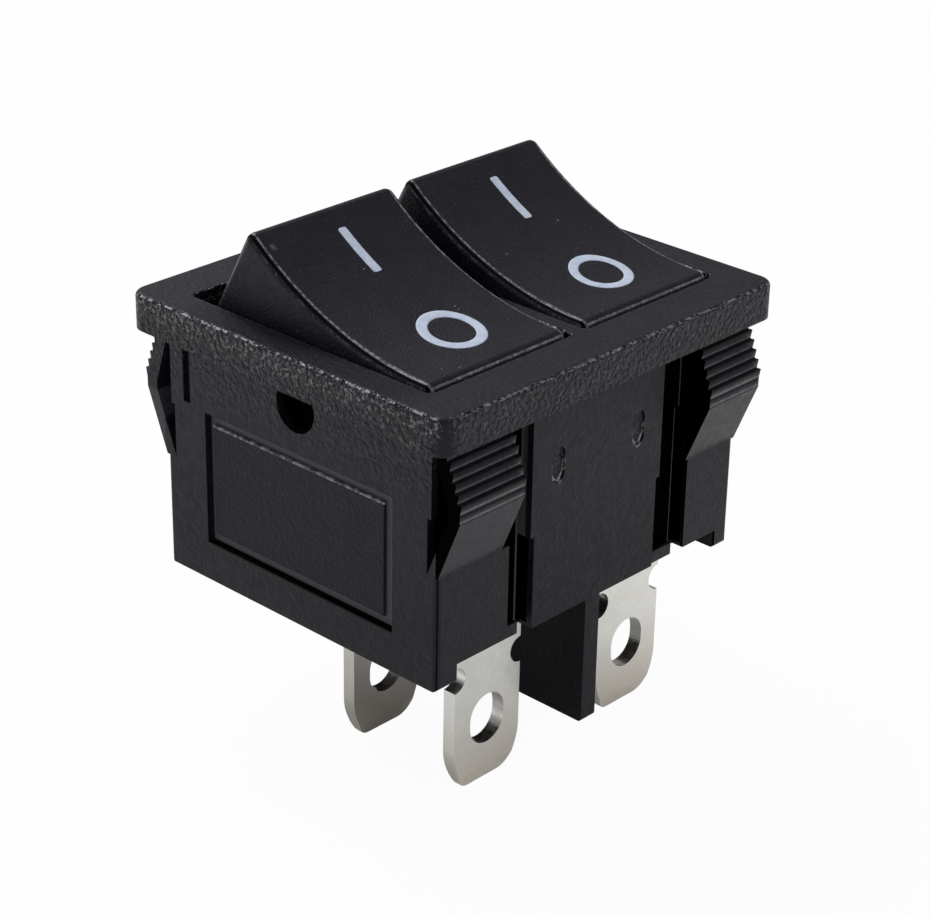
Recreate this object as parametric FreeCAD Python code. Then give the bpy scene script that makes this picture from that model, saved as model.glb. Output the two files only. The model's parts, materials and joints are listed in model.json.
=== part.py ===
import FreeCAD, Part
import math
import os

# Panel rocker switch with two poles side by side. Millimetres. Z = 0 is the panel's face, under the flange,
# +Z points out of the panel, X runs across both rockers and Y along them. The rest pose is both poles off.

# Flange
FLANGE_X = 24.0
FLANGE_Y = 21.5
FLANGE_T = 1.9
FLANGE_CORNER = 1.0
FLANGE_EDGE = 0.25
MOUTH_EDGE = 0.12

# Body behind the panel
BODY_X = 21.8
END_WALL_Y = 8.74
END_PAD_Y = 8.98
END_PAD_Z = -3.9
COLUMN_Y = 9.43
BLOCK_Y = 9.61
BASE_Z = -11.85
FLOOR_T = 1.25
BODY_EDGE = 0.3
BLOCK_X = 9.0
BLOCK_HEAD_X = 9.5
BLOCK_HEAD_Z = -6.9
LEFT_COLUMN_X = 4.85
RIGHT_COLUMN_X = 3.7
LEFT_LIP_X = 0.7
RIGHT_LIP_X = 1.7
LIP_H = 0.65
LEFT_SKIRT_T = 1.4
RIGHT_SKIRT_T = 1.05
SKIRT_H = 1.05

# Barrier between the poles
BARRIER_T = 1.04
BARRIER_Z = -18.88
BARRIER_CORNER = 0.22

# Wells for the rockers
WELL_OUT = 10.15
BAR_X = 0.9
WELL_Y = 8.1
WELL_CORNER = 0.3

# Snap clips: a bowed strip at each corner, with ratchet ribs on its upper slope
LEFT_CLIP_X = 4.35
RIGHT_CLIP_X = 3.9
CLIP_TOP_Y = 9.82
CLIP_APEX_Y = 10.86
CLIP_APEX_Z = -3.05
CLIP_CREST_H = 0.5
CLIP_FOLD_Z = -6.85
CLIP_T = 0.72
RIB_TOP_Z = -0.15
RIB_COUNT = 6
RIB_UNDERCUT = 0.09

# Side walls: marking panel left bare, slot by the clip, trunnion hole
PANEL_Y = 6.5
PANEL_TOP_Z = -3.65
PANEL_BOTTOM_Z = -10.8
PANEL_DEPTH = 0.35
PLATEAU_LOW_Y = -5.8
PLATEAU_HIGH_Y = 6.1
PLATEAU_INSET_Z = 0.56
PLATEAU_H = 0.2
PLATEAU_EDGE = 0.08
SLOT_Y = 7.8
SLOT_W = 0.5
SLOT_TOP_Z = -0.7
SLOT_BOTTOM_Z = -3.5
SLOT_DEPTH = 0.3
OVAL_X = 2.92
OVAL_Z = -3.63
OVAL_W = 0.9
OVAL_H = 1.9
OVAL_DEPTH = 0.12

# Pivot
PIVOT_Z = -1.25
TILT = 19.5
PIVOT_HOLE_R = 1.3
PIVOT_FLAT = 0.65
TRUNNION_R = 1.22
TRUNNION_FLAT = 0.59
TRUNNION_IN_WALL = 0.3
TRUNNION_IN_BAR = 0.3

# Rockers, measured from the pivot with the rocker level
ROCKER_GAP = 0.09
ROCKER_HALF = 6.385
ROCKER_END_H = 5.77
ROCKER_MID_H = 4.63
END_DRAFT = 9.2
END_FOOT_H = -0.3
SKIRT_FOOT_Y = 3.2
SKIRT_FOOT_H = -2.2
ROCKER_WALL = 0.9
ROCKER_ROOF = 1.1
ROCKER_CORNER = 0.45
ROCKER_LIP = 0.4
TUBE_WALL = 0.55
TUBE_FOOT_H = -4.0

# Plunger and spring, along the rocker's tube
PLUNGER_R = 1.28
PLUNGER_CLEAR = 0.05
PLUNGER_TOP_H = -1.9
PLUNGER_NECK_H = -4.1
PLUNGER_BORE_R = 1.0
PLUNGER_FLOOR_H = -3.3
TIP_R = 0.8
TIP_CLEAR = 0.09
SPRING_R = 0.7
WIRE_R = 0.14
SPRING_TURNS = 6
SPRING_HEAD_H = 3.2

# Moving contact: a dished strip that tips on the common terminal's fork
STRIP_T = 0.4
STRIP_X = 2.6
STRIP_DISH = 10.0
STRIP_TIP = 8.0
CONTACT_ARM = 5.6
CONTACT_END = 0.75
FREE_ARM = 4.6
STRIP_CORNER = 0.4
EAR_R = 0.18
EAR_CLEAR = 0.04
EAR_X = 0.85
FULCRUM_Z = -7.0

# Contact rivets
RIVET_HEAD_R = 0.95
RIVET_HEAD_H = 0.5
RIVET_DOME = 0.15
RIVET_SHANK_R = 0.5
RIVET_TAIL_R = 0.75
RIVET_TAIL_H = 0.25
RIVET_CLEAR = 0.02
CONTACT_GAP = 0.03

# Terminals: flat tabs through the floor
TAB_X = 4.65
TAB_T = 0.75
TAB_TIP_Z = -20.95
TAB_TIP_X = 3.1
TAB_TAPER_H = 1.75
TAB_TIP_R = 0.8
TAB_SHOULDER_R = 3.0
TAB_BEVEL_H = 0.8
TAB_BEVEL_T = 0.25
TAB_HOLE_X = 2.4
TAB_HOLE_H = 2.75
TAB_HOLE_Z = -17.4
NOTCH_R = 0.72
NOTCH_Z = -14.4
LOAD_Y = -7.2
COMMON_Y = -0.2
TAB_CLEAR = 0.03
NECK_X = 3.2
BEND_R = 0.3
LEDGE_TAIL = 0.45
FORK_CLEAR = 0.15
FORK_TOP = 0.1
FORK_DEPTH = 2.3

# Derived places
POLE_X = (WELL_OUT + BAR_X / 2) / 2
ROCKER_X = WELL_OUT - BAR_X / 2 - 2 * ROCKER_GAP
TUBE_BORE_R = PLUNGER_R + PLUNGER_CLEAR
FLOOR_Z = BASE_Z + FLOOR_T
STRIP_TOP_Z = FULCRUM_Z + STRIP_T / 2 / math.cos(math.radians(STRIP_DISH))
OFFSET_RISE = abs(COMMON_Y) * math.tan(math.radians(STRIP_DISH))
TIP_H = STRIP_TOP_Z + OFFSET_RISE + TIP_CLEAR - PIVOT_Z
CONTACT_RISE = CONTACT_ARM * math.sin(math.radians(STRIP_DISH - STRIP_TIP))
LEDGE_Z = FULCRUM_Z + CONTACT_RISE - STRIP_T / 2 - 2 * RIVET_HEAD_H - CONTACT_GAP
CONTACT_Y = COMMON_Y - CONTACT_ARM * math.cos(math.radians(STRIP_DISH - STRIP_TIP))

X_AXIS = FreeCAD.Vector(1, 0, 0)
ORIGIN = FreeCAD.Vector(0, 0, 0)
# How far a cutter stands past what it cuts, and how near two places count as one
PAST = 1.0
NEAR = 1e-4


def block(x0, x1, y0, y1, z0, z1):
    """A box between two corners."""
    return Part.makeBox(x1 - x0, y1 - y0, z1 - z0, FreeCAD.Vector(x0, y0, z0))


def edges_where(shape, test):
    """The shape's edges whose every vertex passes the test."""
    return [edge for edge in shape.Edges if all(test(vertex.Point) for vertex in edge.Vertexes)]


def upright(shape):
    """The edges that run along Z."""
    found = []
    for edge in shape.Edges:
        ends = edge.Vertexes
        if len(ends) == 2 and abs(ends[0].X - ends[1].X) < NEAR and abs(ends[0].Y - ends[1].Y) < NEAR:
            found.append(edge)
    return found


def side_prism(points, x0, x1):
    """A side profile of (y, z) points, or (middle, end) pairs for an arc, drawn out along X."""
    edges = []
    here = points[0]
    for point in points[1:] + [points[0]]:
        start = FreeCAD.Vector(x0, here[0], here[1])
        if isinstance(point[0], tuple):
            middle, last = point
            through = FreeCAD.Vector(x0, middle[0], middle[1])
            end = FreeCAD.Vector(x0, last[0], last[1])
            edges.append(Part.Arc(start, through, end).toShape())
            here = last
        else:
            end = FreeCAD.Vector(x0, point[0], point[1])
            if (end - start).Length > NEAR:
                edges.append(Part.makeLine(start, end))
            here = point
    return Part.Face(Part.Wire(edges)).extrude(FreeCAD.Vector(x1 - x0, 0, 0))


def mirrored_y(shape):
    """The shape's twin at the other end."""
    return shape.mirror(ORIGIN, FreeCAD.Vector(0, 1, 0))


def flange():
    """The bezel, with its corners and edges rounded."""
    body = block(-FLANGE_X / 2, FLANGE_X / 2, -FLANGE_Y / 2, FLANGE_Y / 2, 0, FLANGE_T)
    body = body.makeFillet(FLANGE_CORNER, upright(body))
    return body.makeFillet(FLANGE_EDGE, edges_where(body, lambda p: p.z > FLANGE_T - NEAR))


def clip_profile():
    """The clip from the side: ribs down the upper slope, a blunt crest and the lower slope."""
    points = [(CLIP_TOP_Y, 0), (CLIP_TOP_Y, RIB_TOP_Z)]
    rise = (CLIP_APEX_Y - CLIP_TOP_Y) / RIB_COUNT
    pitch = (RIB_TOP_Z - CLIP_APEX_Z) / RIB_COUNT
    for rib in range(1, RIB_COUNT + 1):
        ledge = RIB_TOP_Z - (rib - 1) * pitch
        points.append((CLIP_TOP_Y + rib * rise, ledge))
        points.append((CLIP_TOP_Y + rib * rise - RIB_UNDERCUT, ledge - pitch))
    crest = CLIP_APEX_Z - CLIP_CREST_H
    points.append((CLIP_APEX_Y - RIB_UNDERCUT, crest))
    points.append((COLUMN_Y, CLIP_FOLD_Z))
    points.append((END_WALL_Y, CLIP_FOLD_Z))
    points.append((CLIP_APEX_Y - RIB_UNDERCUT - CLIP_T, crest))
    points.append((CLIP_APEX_Y - RIB_UNDERCUT - CLIP_T, CLIP_APEX_Z))
    points.append((CLIP_TOP_Y - CLIP_T, RIB_TOP_Z))
    points.append((END_WALL_Y, RIB_TOP_Z))
    points.append((END_WALL_Y, 0))
    return points


def clips():
    """The four snap clips. They bow out of the end walls and are moulded to them top and bottom."""
    left = side_prism(clip_profile(), -BODY_X / 2, -BODY_X / 2 + LEFT_CLIP_X)
    right = side_prism(clip_profile(), BODY_X / 2 - RIGHT_CLIP_X, BODY_X / 2)
    return [left, right, mirrored_y(left), mirrored_y(right)]


def corner_column(x0, x1):
    """The thick corner below a clip, with its outer edge rounded."""
    column = block(x0, x1, 0, COLUMN_Y, BASE_Z, CLIP_FOLD_Z)
    outer = max(abs(x0), abs(x1))
    return column.makeFillet(BODY_EDGE, [edge for edge in upright(column)
                                         if abs(edge.Vertexes[0].X) > outer - NEAR
                                         and edge.Vertexes[0].Y > COLUMN_Y - NEAR])


def end_details():
    """The centre block, corner columns, lips and thicker upper wall of the +Y end."""
    side = BODY_X / 2
    centre = block(-BLOCK_X / 2, BLOCK_X / 2, 0, BLOCK_Y, BASE_Z, 0)
    head = block(-BLOCK_HEAD_X / 2, BLOCK_HEAD_X / 2, 0, BLOCK_Y, BLOCK_HEAD_Z, 0)
    left_lip = block(-side + LEFT_COLUMN_X, -side + LEFT_COLUMN_X + LEFT_LIP_X, 0, COLUMN_Y, BASE_Z, BASE_Z + LIP_H)
    right_lip = block(BLOCK_X / 2, BLOCK_X / 2 + RIGHT_LIP_X, 0, COLUMN_Y, BASE_Z, BASE_Z + LIP_H)
    left = corner_column(-side, -side + LEFT_COLUMN_X)
    right = corner_column(side - RIGHT_COLUMN_X, side)
    pad = block(-side, side, 0, END_PAD_Y, END_PAD_Z, 0)
    return [centre, head, left_lip, right_lip, left, right, pad]


def skirt(x0, x1):
    """A side wall's foot, below the floor, with its outer corners rounded."""
    low = BASE_Z - SKIRT_H
    foot = block(x0, x1, -COLUMN_Y, COLUMN_Y, low, BASE_Z)
    outer = max(abs(x0), abs(x1))
    corners = [edge for edge in upright(foot) if abs(edge.Vertexes[0].X) > outer - NEAR]
    corners += edges_where(foot, lambda p: p.z < low + NEAR and p.y > COLUMN_Y - NEAR)
    corners += edges_where(foot, lambda p: p.z < low + NEAR and p.y < -COLUMN_Y + NEAR)
    return foot.makeFillet(BODY_EDGE, corners)


def barrier():
    """The wall that keeps the two poles' terminals apart."""
    wall = block(-BARRIER_T / 2, BARRIER_T / 2, -BLOCK_Y, BLOCK_Y, BARRIER_Z, BASE_Z)
    foot = [edge for edge in wall.Edges
            if abs(edge.Vertexes[0].Z - BARRIER_Z) < NEAR and abs(edge.Vertexes[1].Z - BARRIER_Z) < NEAR
            and abs(edge.Vertexes[0].Y - edge.Vertexes[1].Y) < NEAR]
    return wall.makeFillet(BARRIER_CORNER, foot)


def well(side):
    """The hollow that takes one pole, open through the flange."""
    inner, outer = sorted((side * BAR_X / 2, side * WELL_OUT))
    hollow = block(inner, outer, -WELL_Y, WELL_Y, FLOOR_Z, FLANGE_T + PAST)
    return hollow.makeFillet(WELL_CORNER, upright(hollow))


def pivot_cut(x0, x1):
    """The D-shaped pivot hole, along X: round below and flat on top."""
    hole = Part.makeCylinder(PIVOT_HOLE_R, x1 - x0, FreeCAD.Vector(x0, 0, PIVOT_Z), X_AXIS)
    lid = block(x0, x1, -2 * PIVOT_HOLE_R, 2 * PIVOT_HOLE_R, PIVOT_Z + PIVOT_FLAT, PIVOT_Z + 2 * PIVOT_HOLE_R)
    return hole.cut(lid)


def marking_panel():
    """The recess in the -X wall, around a low plateau that is left bare."""
    wall = -BODY_X / 2
    top = wall + PANEL_DEPTH - PLATEAU_H
    recess = block(wall - PAST, wall + PANEL_DEPTH, -PANEL_Y, PANEL_Y, PANEL_BOTTOM_Z, PANEL_TOP_Z)
    plateau = block(top, wall + PAST, PLATEAU_LOW_Y, PLATEAU_HIGH_Y,
                    PANEL_BOTTOM_Z + PLATEAU_INSET_Z, PANEL_TOP_Z - PLATEAU_INSET_Z)
    return recess.cut(plateau.makeFillet(PLATEAU_EDGE, edges_where(plateau, lambda p: p.x < top + NEAR)))


def oval(x):
    """A shallow upright oval in the centre block's face."""
    radius = OVAL_W / 2
    depth = 2 * OVAL_DEPTH
    reach = OVAL_H / 2 - radius
    back = FreeCAD.Vector(x, -BLOCK_Y - OVAL_DEPTH, OVAL_Z)
    along = FreeCAD.Vector(0, 1, 0)
    top = Part.makeCylinder(radius, depth, back + FreeCAD.Vector(0, 0, reach), along)
    foot = Part.makeCylinder(radius, depth, back - FreeCAD.Vector(0, 0, reach), along)
    waist = block(x - radius, x + radius, back.y, back.y + depth, OVAL_Z - reach, OVAL_Z + reach)
    return top.fuse([foot, waist])


def tab_slot(x, y):
    """The slot in the floor for one tab."""
    half = TAB_X / 2 + TAB_CLEAR
    thick = TAB_T / 2 + TAB_CLEAR
    return block(x - half, x + half, y - thick, y + thick, BASE_Z - PAST, FLOOR_Z + PAST)


def housing():
    """The black moulding: flange, walls, floor, clips, columns, skirts and barrier in one."""
    side = BODY_X / 2
    core = block(-side, side, -END_WALL_Y, END_WALL_Y, BASE_Z, 0)
    ends = end_details()
    skirts = [skirt(-side, -side + LEFT_SKIRT_T), skirt(side - RIGHT_SKIRT_T, side)]
    body = flange().fuse([core] + ends + [mirrored_y(piece) for piece in ends] + clips() + skirts + [barrier()])
    cuts = [well(-1), well(1)]
    cuts.append(pivot_cut(-side - PAST, -WELL_OUT + PAST))
    cuts.append(pivot_cut(WELL_OUT - PAST, side + PAST))
    cuts.append(pivot_cut(-BAR_X / 2 - PAST, BAR_X / 2 + PAST))
    cuts.append(marking_panel())
    cuts.append(block(-side - PAST, -side + SLOT_DEPTH, SLOT_Y - SLOT_W / 2, SLOT_Y + SLOT_W / 2,
                      SLOT_BOTTOM_Z, SLOT_TOP_Z))
    cuts += [oval(-OVAL_X), oval(OVAL_X)]
    cuts += [tab_slot(pole * POLE_X, y) for pole in (-1, 1) for y in (LOAD_Y, COMMON_Y)]
    body = body.cut(cuts[0])
    for cut in cuts[1:]:
        body = body.cut(cut)
    body = body.removeSplitter()
    mouths = edges_where(body, lambda p: abs(p.z - FLANGE_T) < NEAR and abs(p.y) < WELL_Y + NEAR
                         and abs(p.x) < WELL_OUT + NEAR)
    return body.makeFillet(MOUTH_EDGE, mouths)


def turned(shape, angle, y, z):
    """The shape turned about the X axis through (y, z)."""
    copy = shape.copy()
    copy.rotate(FreeCAD.Vector(0, y, z), X_AXIS, angle)
    return copy


def rocker_outline():
    """The level rocker from the side, about its pivot: dished top, leaning ends, tapered skirt."""
    foot_y = ROCKER_HALF + (ROCKER_END_H - END_FOOT_H) * math.tan(math.radians(END_DRAFT))
    return [(foot_y, END_FOOT_H), (ROCKER_HALF, ROCKER_END_H), ((0, ROCKER_MID_H), (-ROCKER_HALF, ROCKER_END_H)),
            (-foot_y, END_FOOT_H), (-SKIRT_FOOT_Y, SKIRT_FOOT_H), (SKIRT_FOOT_Y, SKIRT_FOOT_H)]


def dish_height(y):
    """The height of the rocker's dished top above the pivot."""
    rise = ROCKER_END_H - ROCKER_MID_H
    radius = (ROCKER_HALF ** 2 + rise ** 2) / (2 * rise)
    return ROCKER_MID_H + radius - math.sqrt(radius ** 2 - y ** 2)


def rocker_hollow():
    """The space under the rocker's roof."""
    roof = ROCKER_MID_H - ROCKER_ROOF
    lean = math.tan(math.radians(END_DRAFT))
    wall = ROCKER_WALL / math.cos(math.radians(END_DRAFT))
    top_y = ROCKER_HALF + (ROCKER_END_H - roof) * lean - wall
    deep = SKIRT_FOOT_H - PAST
    foot_y = ROCKER_HALF + (ROCKER_END_H - deep) * lean - wall
    inside = ROCKER_X / 2 - ROCKER_WALL
    return side_prism([(top_y, roof), (-top_y, roof), (-foot_y, deep), (foot_y, deep)], -inside, inside)


def trunnion(x0, x1):
    """A pivot stub along X. Its two flats meet the hole's flat at the ends of the swing."""
    stub = Part.makeCylinder(TRUNNION_R, x1 - x0, FreeCAD.Vector(x0, 0, 0), X_AXIS)
    for angle in (-TILT, TILT):
        flat = block(x0, x1, -2 * TRUNNION_R, 2 * TRUNNION_R, TRUNNION_FLAT, 2 * TRUNNION_R)
        stub = stub.cut(turned(flat, angle, 0, 0))
    return stub


def spring_tube():
    """The tube under the roof that guides the plunger, and its blind bore."""
    top = ROCKER_MID_H - ROCKER_ROOF / 2
    mouth = FreeCAD.Vector(0, 0, TUBE_FOOT_H - PAST)
    tube = Part.makeCylinder(TUBE_BORE_R + TUBE_WALL, top - TUBE_FOOT_H, FreeCAD.Vector(0, 0, TUBE_FOOT_H))
    bore = Part.makeCylinder(TUBE_BORE_R, SPRING_HEAD_H - mouth.z, mouth)
    return tube, bore


def rocker_level(side):
    """One rocker, level, about its pivot. side is -1 for the left pole and 1 for the right."""
    half = ROCKER_X / 2
    body = side_prism(rocker_outline(), -half, half)
    ends = [edge for edge in body.Edges
            if abs(edge.Vertexes[0].X - edge.Vertexes[1].X) < NEAR
            and {round(vertex.Z, 3) for vertex in edge.Vertexes} == {round(END_FOOT_H, 3), round(ROCKER_END_H, 3)}]
    body = body.makeFillet(ROCKER_CORNER, ends)
    body = body.makeFillet(ROCKER_LIP, edges_where(body, lambda p: abs(p.z - dish_height(p.y)) < NEAR))
    tube, bore = spring_tube()
    body = body.cut(rocker_hollow()).fuse(tube).cut(bore)
    out = TRUNNION_IN_WALL + ROCKER_GAP
    inward = TRUNNION_IN_BAR + ROCKER_GAP
    stubs = [trunnion(half - ROCKER_WALL, half + (out if side > 0 else inward)),
             trunnion(-half - (inward if side > 0 else out), -half + ROCKER_WALL)]
    return body.fuse(stubs).removeSplitter()


def in_rocker(shape, side):
    """Takes a piece from the level rocker's frame to the off position of one pole."""
    placed = shape.copy()
    placed.translate(FreeCAD.Vector(side * POLE_X, 0, PIVOT_Z))
    return turned(placed, TILT, 0, PIVOT_Z)


def plunger_level():
    """The turned plunger: round tip, taper, guided skirt and a bore for the spring."""
    tip_centre = TIP_H + TIP_R
    knee = math.radians(45)
    points = [FreeCAD.Vector(0, 0, PLUNGER_FLOOR_H), FreeCAD.Vector(PLUNGER_BORE_R, 0, PLUNGER_FLOOR_H),
              FreeCAD.Vector(PLUNGER_BORE_R, 0, PLUNGER_TOP_H), FreeCAD.Vector(PLUNGER_R, 0, PLUNGER_TOP_H),
              FreeCAD.Vector(PLUNGER_R, 0, PLUNGER_NECK_H), FreeCAD.Vector(TIP_R, 0, tip_centre)]
    edges = [Part.makeLine(a, b) for a, b in zip(points, points[1:])]
    through = FreeCAD.Vector(TIP_R * math.cos(knee), 0, tip_centre - TIP_R * math.sin(knee))
    low = FreeCAD.Vector(0, 0, tip_centre - TIP_R)
    edges.append(Part.Arc(points[-1], through, low).toShape())
    edges.append(Part.makeLine(low, points[0]))
    return Part.Face(Part.Wire(edges)).revolve(ORIGIN, FreeCAD.Vector(0, 0, 1), 360)


def spring_level():
    """The coil spring between the plunger and the blind end of the tube."""
    length = SPRING_HEAD_H - PLUNGER_FLOOR_H - 2 * WIRE_R
    start = PLUNGER_FLOOR_H + WIRE_R
    helix = Part.makeHelix(length / SPRING_TURNS, length, SPRING_R)
    helix.translate(FreeCAD.Vector(0, 0, start))
    circle = Part.makeCircle(WIRE_R, FreeCAD.Vector(SPRING_R, 0, start), FreeCAD.Vector(0, 1, 0))
    return Part.Wire(helix.Edges).makePipeShell([Part.Wire([circle])], True, True)


def rivet(dome_up):
    """A contact rivet about the sheet's middle plane, head up."""
    sheet = (TAB_T if dome_up else STRIP_T) / 2
    rim = sheet + RIVET_HEAD_H - RIVET_DOME
    points = [(0, -sheet - RIVET_TAIL_H), (RIVET_TAIL_R, -sheet - RIVET_TAIL_H), (RIVET_TAIL_R, -sheet),
              (RIVET_SHANK_R, -sheet), (RIVET_SHANK_R, sheet), (RIVET_HEAD_R, sheet), (RIVET_HEAD_R, rim)]
    corners = [FreeCAD.Vector(r, 0, z) for r, z in points]
    edges = [Part.makeLine(a, b) for a, b in zip(corners, corners[1:])]
    crown = FreeCAD.Vector(0, 0, sheet + RIVET_HEAD_H)
    radius = (RIVET_HEAD_R ** 2 + RIVET_DOME ** 2) / (2 * RIVET_DOME)
    halfway = math.asin(RIVET_HEAD_R / radius) / 2
    between = FreeCAD.Vector(radius * math.sin(halfway), 0, crown.z - radius * (1 - math.cos(halfway)))
    edges.append(Part.Arc(corners[-1], between, crown).toShape())
    edges.append(Part.makeLine(crown, corners[0]))
    return Part.Face(Part.Wire(edges)).revolve(ORIGIN, FreeCAD.Vector(0, 0, 1), 360)


def rivet_hole(thickness):
    """The hole for a rivet's shank."""
    return Part.makeCylinder(RIVET_SHANK_R + RIVET_CLEAR, 2 * thickness, FreeCAD.Vector(0, 0, -thickness))


def on_contact_arm(shape):
    """Takes a piece from the sheet's own frame to the contact's place on the level strip."""
    placed = shape.copy()
    placed.translate(FreeCAD.Vector(0, -CONTACT_ARM, 0))
    return turned(placed, -STRIP_DISH, 0, 0)


def strip_level():
    """The dished strip about its fulcrum, with an ear at each side."""
    slope = math.tan(math.radians(STRIP_DISH))
    half = STRIP_T / 2 / math.cos(math.radians(STRIP_DISH))
    near = CONTACT_ARM + CONTACT_END
    top = [(-near, near * slope + half), (0, half), (FREE_ARM, FREE_ARM * slope + half)]
    foot = [(FREE_ARM, FREE_ARM * slope - half), (0, -half), (-near, near * slope - half)]
    body = side_prism(top + foot, -STRIP_X / 2, STRIP_X / 2)
    body = body.makeFillet(STRIP_CORNER, upright(body))
    ears = Part.makeCylinder(EAR_R, STRIP_X + 2 * EAR_X, FreeCAD.Vector(-STRIP_X / 2 - EAR_X, 0, 0), X_AXIS)
    return body.fuse(ears).cut(on_contact_arm(rivet_hole(STRIP_T))).removeSplitter()


def on_fork(shape, side):
    """Takes a piece from the strip's own frame to the off position of one pole."""
    placed = shape.copy()
    placed.translate(FreeCAD.Vector(side * POLE_X, COMMON_Y, FULCRUM_Z))
    return turned(placed, -STRIP_TIP, COMMON_Y, FULCRUM_Z)


def moving_rivet_level():
    """The strip's rivet, with its head below."""
    head_down = rivet(False)
    head_down.rotate(ORIGIN, X_AXIS, 180)
    return on_contact_arm(head_down)


def through_edges(plate, z):
    """The edges that run along Y at height z."""
    return [edge for edge in plate.Edges if abs(edge.Vertexes[0].X - edge.Vertexes[1].X) < NEAR
            and all(abs(vertex.Z - z) < NEAR for vertex in edge.Vertexes)]


def tab_foot(y):
    """A tab's bevelled tip from the side, from its -Y face round to its +Y face."""
    half = TAB_T / 2
    knee = TAB_TIP_Z + TAB_BEVEL_H
    return [(y - half, knee), (y - half + TAB_BEVEL_T, TAB_TIP_Z), (y + half - TAB_BEVEL_T, TAB_TIP_Z),
            (y + half, knee)]


def tab_front(top_z, top_half):
    """The tab from the front: tapered tip, side notches and the slotted hole, as a thick plate."""
    half = TAB_X / 2
    taper = TAB_TIP_Z + TAB_TAPER_H
    outline = [(-half, FLOOR_Z), (-half, taper), (-TAB_TIP_X / 2, TAB_TIP_Z), (TAB_TIP_X / 2, TAB_TIP_Z),
               (half, taper), (half, FLOOR_Z), (top_half, FLOOR_Z), (top_half, top_z), (-top_half, top_z),
               (-top_half, FLOOR_Z)]
    corners = [FreeCAD.Vector(x, -FLANGE_Y, z) for x, z in outline]
    plate = Part.Face(Part.makePolygon(corners + corners[:1])).extrude(FreeCAD.Vector(0, 2 * FLANGE_Y, 0))
    plate = plate.makeFillet(TAB_TIP_R, through_edges(plate, TAB_TIP_Z))
    plate = plate.makeFillet(TAB_SHOULDER_R, through_edges(plate, taper))
    along = FreeCAD.Vector(0, 1, 0)
    radius = TAB_HOLE_X / 2
    reach = TAB_HOLE_H / 2 - radius
    cuts = [Part.makeCylinder(radius, 2 * FLANGE_Y, FreeCAD.Vector(0, -FLANGE_Y, TAB_HOLE_Z + reach), along),
            Part.makeCylinder(radius, 2 * FLANGE_Y, FreeCAD.Vector(0, -FLANGE_Y, TAB_HOLE_Z - reach), along),
            block(-radius, radius, -FLANGE_Y, FLANGE_Y, TAB_HOLE_Z - reach, TAB_HOLE_Z + reach)]
    cuts += [Part.makeCylinder(NOTCH_R, 2 * FLANGE_Y, FreeCAD.Vector(x, -FLANGE_Y, NOTCH_Z), along)
             for x in (-half, half)]
    for cut in cuts:
        plate = plate.cut(cut)
    return plate


def bend_edges(sheet, y, z):
    """The edges that run along X through (y, z)."""
    return edges_where(sheet, lambda p: abs(p.y - y) < NEAR and abs(p.z - z) < NEAR)


def load_terminal(side):
    """A tab whose top is bent inwards to carry the fixed contact."""
    outer = LOAD_Y - TAB_T / 2
    inner = LOAD_Y + TAB_T / 2
    end = CONTACT_Y + RIVET_HEAD_R + LEDGE_TAIL
    bend = [(inner, LEDGE_Z - TAB_T), (end, LEDGE_Z - TAB_T), (end, LEDGE_Z), (outer, LEDGE_Z)]
    sheet = side_prism(tab_foot(LOAD_Y) + bend, -TAB_X / 2, TAB_X / 2)
    sheet = sheet.makeFillet(BEND_R + TAB_T, bend_edges(sheet, outer, LEDGE_Z))
    sheet = sheet.makeFillet(BEND_R, bend_edges(sheet, inner, LEDGE_Z - TAB_T))
    blade = sheet.common(tab_front(LEDGE_Z, NECK_X / 2))
    hole = rivet_hole(TAB_T)
    hole.translate(FreeCAD.Vector(0, CONTACT_Y, LEDGE_Z - TAB_T / 2))
    blade = blade.cut(hole)
    blade.translate(FreeCAD.Vector(side * POLE_X, 0, 0))
    return blade


def common_terminal(side):
    """A tab whose top is a fork. Each prong has a rounded seat for one of the strip's ears."""
    prong = STRIP_X / 2 + EAR_X + FORK_CLEAR
    top = FULCRUM_Z + FORK_TOP
    ends = [(COMMON_Y + TAB_T / 2, top), (COMMON_Y - TAB_T / 2, top)]
    plate = side_prism(tab_foot(COMMON_Y) + ends, -TAB_X / 2, TAB_X / 2)
    blade = plate.common(tab_front(top, prong))
    gap = STRIP_X / 2 + FORK_CLEAR
    blade = blade.cut(block(-gap, gap, -FLANGE_Y, FLANGE_Y, top - FORK_DEPTH, top + PAST))
    seat_r = EAR_R + EAR_CLEAR
    seat = Part.makeCylinder(seat_r, 2 * (prong + PAST), FreeCAD.Vector(-prong - PAST, COMMON_Y, FULCRUM_Z), X_AXIS)
    mouth = block(-prong - PAST, prong + PAST, COMMON_Y - seat_r, COMMON_Y + seat_r, FULCRUM_Z, top + PAST)
    blade = blade.cut(seat.fuse(mouth))
    blade.translate(FreeCAD.Vector(side * POLE_X, 0, 0))
    return blade


def fixed_rivet(side):
    """The load terminal's rivet, head up."""
    piece = rivet(True)
    piece.translate(FreeCAD.Vector(side * POLE_X, CONTACT_Y, LEDGE_Z - TAB_T / 2))
    return piece


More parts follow.
